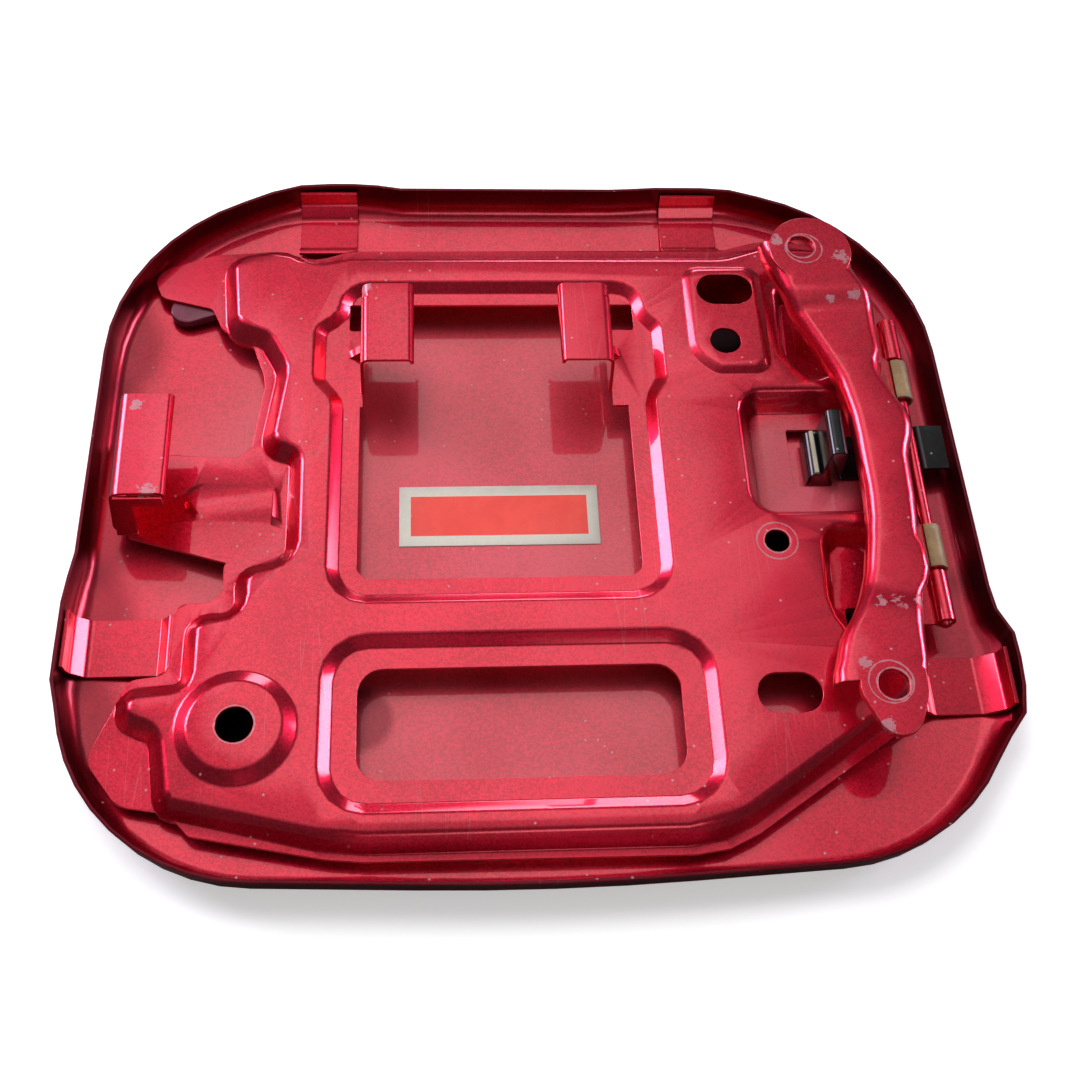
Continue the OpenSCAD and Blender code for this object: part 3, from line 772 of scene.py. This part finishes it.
@dataclass
class DoorShell:
    """The two pressings and the dabs between them."""

    effects: Effects
    mastic_tone: Moulded = Moulded("mastic", (0.10, 0.006, 0.02), (0.22, 0.02, 0.05), (0.3, 0.05, 0.08),
                                   0.45, coat=0.5, grain=0.00012, grain_scale=260.0)

    def skin_paint(self) -> CandyPaint:
        """Give the skin's lacquer, dusty in the windows, with painted shadow under the holes and the arm, and
        painted shade at the lower window's end, along the hinge and latch sides and up the rim.

        Returns:
            The finish.
        """
        # Painted shadow on the skin under the slots, the arm, the boss hole and the drain hole.
        under_slots, under_arm = Spot((48.0, 47.0, 1.2), 13.0), Spot((66.0, -34.0, 1.2), 8.0)
        under_boss, under_drain = Spot((-64.0, -51.5, 1.3), 6.0), Spot((53.5, -10.5, 1.3), 6.0)
        # Painted shade at the lower window's end and along the hinge and latch sides.
        window_end = Spot((-39.0, -50.0, 1.2), 8.0)
        hinge_side = tuple(Spot((x, y, 1.5), reach) for x, y, reach in
                           ((93.0, 52.0, 22.0), (98.0, 22.0, 20.0), (98.0, -8.0, 20.0), (97.0, -32.0, 16.0)))
        latch_side = tuple(Spot((-104.0, y, 1.5), 20.0) for y in (44.0, 20.0, -4.0, -28.0, -52.0))
        # The rim's darkening below is painted shade.
        return CandyPaint("skin_paint", peel=0.000040, peel_scale=640.0, rough=0.36, grime=0.24, rim_shade=0.85,
                          grimy=(Spot((-8.0, -5.0, 0.8), 84.0),),
                          unlit=(under_slots, under_arm, under_boss, under_drain),
                          dim=(*hinge_side, window_end, *latch_side))

    def panel_paint(self) -> CandyPaint:
        """Give the panel's lacquer, chipped on the loop and a hook and ringed round two holes.

        Returns:
            The finish.
        """
        chips = (Spot((-86.5, 15.0, 21.6), 1.6), Spot((-82.0, -6.4, 21.6), 2.2), Spot((-38.0, 47.5, 20.0), 2.4))
        drain = tuple(Spot((51.8, -14.0, 10.0), radius, width) for radius, width in ((4.5, 0.22), (3.0, 0.2)))
        boss = Spot(opening_place("boss_hole", 12.0), 4.0, 0.2)
        return CandyPaint("panel_paint", specks=0.03, grime=0.35, grimy=(Spot((61.0, 7.0, 4.0), 17.0),),
                          spots=(*chips, *drain, boss))

    def build(self) -> None:
        """Make and dress the skin, the inner panel and the mastic."""
        Dressing("outer_skin", "skin_pressing", 0.15, 40.0, Body.DOOR, "paint").make(
            self.skin_paint().build(self.effects))
        Dressing("inner_panel", "inner_pressing", 0.12, 52.0, Body.DOOR, "paint").make(
            self.panel_paint().build(self.effects))
        tone = self.mastic_tone.build(self.effects)
        for node in ("upper_mastic", "lower_mastic"):
            Dressing(node, node + "_dab", 0.5, 40.0, Body.DOOR, "mastic").make(tone)


@dataclass
class Hinge:
    """The arm with its bushes, the pin and the leaf spring; heights in millimetres."""

    effects: Effects
    ear_top: float = 19.0
    pin_paint: CandyPaint = CandyPaint("pin_paint", scratches=0.3)
    bush_tone: Moulded = Moulded("bush_plastic", (0.36, 0.235, 0.105), (0.27, 0.165, 0.075),
                                 (0.46, 0.32, 0.18), 0.42)
    liner_tone: Moulded = Moulded("liner_strip", (0.58, 0.52, 0.38), (0.46, 0.40, 0.28),
                                  (0.6, 0.56, 0.45), 0.5)
    spring_tone: Moulded = Moulded("spring_steel", (0.003, 0.003, 0.004), (0.006, 0.006, 0.007),
                                   (0.05, 0.055, 0.055), 0.10, grain=0.000006)

    def washer_marks(self, screw: str, slip: tuple[float, float], outer: float) -> tuple[Spot, Spot]:
        """Give the two rings that a washer leaves about a screw hole.

        Args:
            screw: the mount of the hole.
            slip: how far the outer ring lies off the hole, in X and Y.
            outer: the outer ring's radius.

        Returns:
            The inner and the outer ring.
        """
        x, y, z = mount_place(screw, self.ear_top)
        return Spot((x, y, z), 3.5, 0.26), Spot((x + slip[0], y + slip[1], z), outer, 0.22)

    def arm_paint(self) -> CandyPaint:
        """Give the arm's lacquer, ringed round its screw holes, chipped on ears and ridge, rubbed at edges.

        Returns:
            The finish.
        """
        rings = (*self.washer_marks("upper_screw", (0.6, -0.6), 4.4),
                 *self.washer_marks("lower_screw", (-0.5, 0.5), 4.6))
        ears = tuple(Spot((x, y, self.ear_top), radius) for x, y, radius in
                     ((74.6, 58.0, 2.0), (59.6, 63.0, 1.6), (64.0, -47.4, 1.6), (66.5, -60.6, 1.8)))
        ridge = (Spot((69.0, -33.6, 17.7), 1.8), Spot((73.4, -33.8, 17.7), 2.1), Spot((78.0, -33.4, 17.4), 1.7),
                 Spot((70.5, 46.4, 17.8), 1.3), Spot((76.0, 47.6, 18.0), 1.5))
        return CandyPaint("arm_paint", peel=0.000024, peel_scale=680.0, specks=0.02, scratches=0.18, edges=0.75,
                          spots=(*rings, *ears, *ridge))

    def build(self) -> None:
        """Make and dress the pieces of the hinge."""
        Dressing("hinge_arm", "arm_channel", 0.2, 46.0, Body.ARM, "paint").make(
            self.arm_paint().build(self.effects))
        Dressing("hinge_pin", "pin", 0.0, 40.0, Body.DOOR, "pin_paint").make(
            self.pin_paint.build(self.effects))
        plastic = self.bush_tone.build(self.effects)
        for node in ("upper_bush", "lower_bush"):
            Dressing(node, node + "_shell", 0.12, 40.0, Body.ARM, "bush").make(plastic)
        Dressing("leaf_spring", "spring_leaf", 0.12, 50.0, Body.DOOR, "spring").make(
            self.spring_tone.build(self.effects))
        Dressing("spring_liner", "spring_liner_strip", 0.1, 50.0, Body.DOOR, "bush").make(
            self.liner_tone.build(self.effects))


@dataclass
class CapLabel:
    """The bare printed plate behind the cap window; sizes in millimetres."""

    effects: Effects
    border: float = 2.5
    rounding: float = 0.4
    field_sink: float = 0.02
    plate_tone: Moulded = Moulded("label_foil", (0.66, 0.63, 0.52), (0.74, 0.71, 0.62), (0.8, 0.8, 0.75), 0.34,
                                  metal=0.55, grain=0.000006)
    print_tone: Moulded = Moulded("label_print", (0.92, 0.085, 0.060), (0.86, 0.075, 0.054),
                                  (0.80, 0.25, 0.20), 0.40, grain=0.000006)

    def build(self) -> None:
        """Make the plate, dress it and print its field."""
        low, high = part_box("label")
        middle, size = (low + high) / 2, high - low
        bpy.ops.object.select_all(action="DESELECT")
        bpy.ops.mesh.primitive_cube_add(size=1.0)
        plate = bpy.context.object
        plate.name = "label_plate"
        plate.data.transform(Matrix.Translation(middle) @ Matrix.Diagonal((*size, 1.0)))
        applied(plate, "BEVEL", width=self.rounding * MM, segments=4, limit_method="ANGLE",
                angle_limit=math.radians(60), affect="EDGES")
        only(plate)
        bpy.ops.object.shade_smooth_by_angle(angle=math.radians(50))
        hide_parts("label")
        placed(plate, Body.DOOR, self.plate_tone.build(self.effects))
        self.print_field(plate)

    def print_field(self, plate: bpy.types.Object) -> None:
        """Make the red printed field, sunk a little inside the silver border.

        Args:
            plate: the plate that carries it.
        """
        only(plate)
        bpy.ops.object.mode_set(mode="EDIT")
        bpy.ops.mesh.select_all(action="DESELECT")
        bpy.ops.object.mode_set(mode="OBJECT")
        top = max((face for face in plate.data.polygons if face.normal.z > 0.99), key=lambda face: face.area)
        top.select = True
        bpy.ops.object.mode_set(mode="EDIT")
        bpy.ops.mesh.inset(thickness=self.border * MM, depth=-self.field_sink * MM)
        bpy.ops.object.mode_set(mode="OBJECT")
        plate.data.materials.append(self.print_tone.build(self.effects))
        for face in plate.data.polygons:
            if face.select:
                face.material_index = 1


# Studio


@dataclass(frozen=True)
class Panel:
    """A soft panel of light in the surround: its direction, half widths in degrees, strength and tint."""

    towards: Point
    inner: float
    outer: float
    strength: float
    cool: bool = False


@dataclass(frozen=True)
class Studio:
    """The camera at the photograph's angle, the floor, the lamp and the surround.

    The eye is in millimetres, the angles are in degrees, and the floor and the lamp are in metres and watts.
    """

    eye: Point = (-19.6, -155.0, 271.0)
    pitch: float = 61.23
    heading: float = 7.79
    roll: float = 6.0
    lens: float = 45.833
    sensor: float = 36.0
    room: float = 0.08
    warm_tint: Colour = (1.0, 0.985, 0.98)
    cool_tint: Colour = (0.86, 0.80, 1.0)
    panels: tuple[Panel, ...] = (
        Panel((0.0, 0.44, 0.90), 10.0, 16.0, 0.95), Panel((-0.15, 0.34, 0.93), 10.0, 44.0, 0.45),
        Panel((-0.24, 0.54, 0.81), 3.0, 8.0, 0.8, True), Panel((-0.72, 0.50, 0.48), 4.0, 16.0, 13.0, True),
        Panel((0.86, 0.33, 0.38), 4.0, 13.0, 14.0, True), Panel((0.10, -0.84, 0.54), 5.0, 14.0, 1.8),
        Panel((0.10, 0.97, 0.20), 4.0, 10.0, 7.0, True))
    floor_size: float = 6.0
    floor_gap: float = 0.00005
    floor_tone: Colour = (0.90, 0.90, 0.90)
    mirrored_floor: Colour = (0.20, 0.17, 0.17)
    floor_glow: float = 0.45
    key_place: Point = (-0.25, 0.35, 1.05)
    key_size: tuple[float, float] = (0.5, 0.4)
    key_power: float = 5.0

    def camera(self) -> None:
        """Place the camera by its eye point and three angles."""
        pitch, heading, roll = (math.radians(a) for a in (self.pitch, self.heading, self.roll))
        ahead = Vector((math.sin(heading) * math.cos(pitch), math.cos(heading) * math.cos(pitch),
                        -math.sin(pitch)))
        level = Vector((math.cos(heading), -math.sin(heading), 0.0))
        up = level.cross(ahead)
        right = math.cos(roll) * level + math.sin(roll) * up
        top = -math.sin(roll) * level + math.cos(roll) * up
        data = bpy.data.cameras.new("camera")
        data.lens, data.sensor_width, data.clip_start = self.lens, self.sensor, 0.01
        camera = bpy.data.objects.new("camera", data)
        turn = Matrix((right, top, -ahead)).transposed().to_4x4()
        camera.matrix_world = Matrix.Translation(Vector(self.eye) * MM) @ turn
        bpy.context.scene.collection.objects.link(camera)
        bpy.context.scene.camera = camera

    def key(self) -> None:
        """Hang the key lamp, which faces the object and isn't mirrored in its gloss."""
        data = bpy.data.lights.new("key", "AREA")
        data.shape, data.size, data.size_y, data.energy = "RECTANGLE", *self.key_size, self.key_power
        lamp = bpy.data.objects.new("key", data)
        lamp.location = self.key_place
        lamp.visible_glossy = False
        lamp.rotation_euler = (-Vector(self.key_place)).to_track_quat("-Z", "Y").to_euler()
        bpy.context.scene.collection.objects.link(lamp)

    def surround(self) -> None:
        """Light the world by soft panels in a dim room, with a white view for the camera."""
        world = bpy.data.worlds.new("studio")
        bpy.context.scene.world = world
        world.use_nodes = True
        g = Graph(world.node_tree)
        way = g.add("TexCoord").outputs["Generated"]
        glows = {False: self.room, True: 0.0}
        for panel in self.panels:
            near = g.combined("DOT_PRODUCT", way, Vector(panel.towards).normalized())
            inner, outer = (math.cos(math.radians(a)) for a in (panel.inner, panel.outer))
            glow = g.span(near, outer, inner, 0.0, panel.strength)
            glows[panel.cool] = g.math("ADD", glows[panel.cool], glow)
        warm, cool = (g.add("Background", {"Color": rgba(tint), "Strength": glow}) for tint, glow in
                      ((self.warm_tint, glows[False]), (self.cool_tint, glows[True])))
        lit = g.add("AddShader", {0: warm.outputs[0], 1: cool.outputs[0]})
        white = g.add("Background", {"Color": rgba((1.0, 1.0, 1.0))})
        seen = g.add("MixShader", {0: g.add("LightPath").outputs["Is Camera Ray"], 1: lit.outputs[0],
                                   2: white.outputs[0]})
        world.node_tree.links.new(seen.outputs[0], world.node_tree.nodes["World Output"].inputs[0])

    def floor(self) -> None:
        """Lay the pale floor, which the paint mirrors darker than the camera sees it."""
        low, _ = CAD_BOX
        bpy.ops.object.select_all(action="DESELECT")
        bpy.ops.mesh.primitive_plane_add(size=self.floor_size, location=(0, 0, low[2] - self.floor_gap))
        floor = bpy.context.object
        floor.name = "floor"
        matt = Finish("floor_white")
        path = matt.graph.add("LightPath")
        matt.set(Base_Color=matt.graph.mix(path.outputs["Is Glossy Ray"], self.floor_tone, self.mirrored_floor),
                 Roughness=0.9, Specular_IOR_Level=0.2, Emission_Color=rgba((1.0, 1.0, 1.0)),
                 Emission_Strength=matt.graph.times(path.outputs["Is Camera Ray"], self.floor_glow))
        floor.data.materials.append(matt.material)

    def build(self) -> None:
        """Set up the whole studio."""
        self.camera()
        self.surround()
        self.floor()
        self.key()
        bpy.context.scene.view_settings.view_transform = "Standard"


def main() -> None:
    """Build the studio and every sub-assembly."""
    logging.basicConfig(level=logging.INFO, format="%(name)s %(message)s")
    Studio().build()
    effects = Effects().build()
    for part in (DoorShell(effects), Hinge(effects), CapLabel(effects)):
        part.build()


if __name__ == "__main__":
    main()
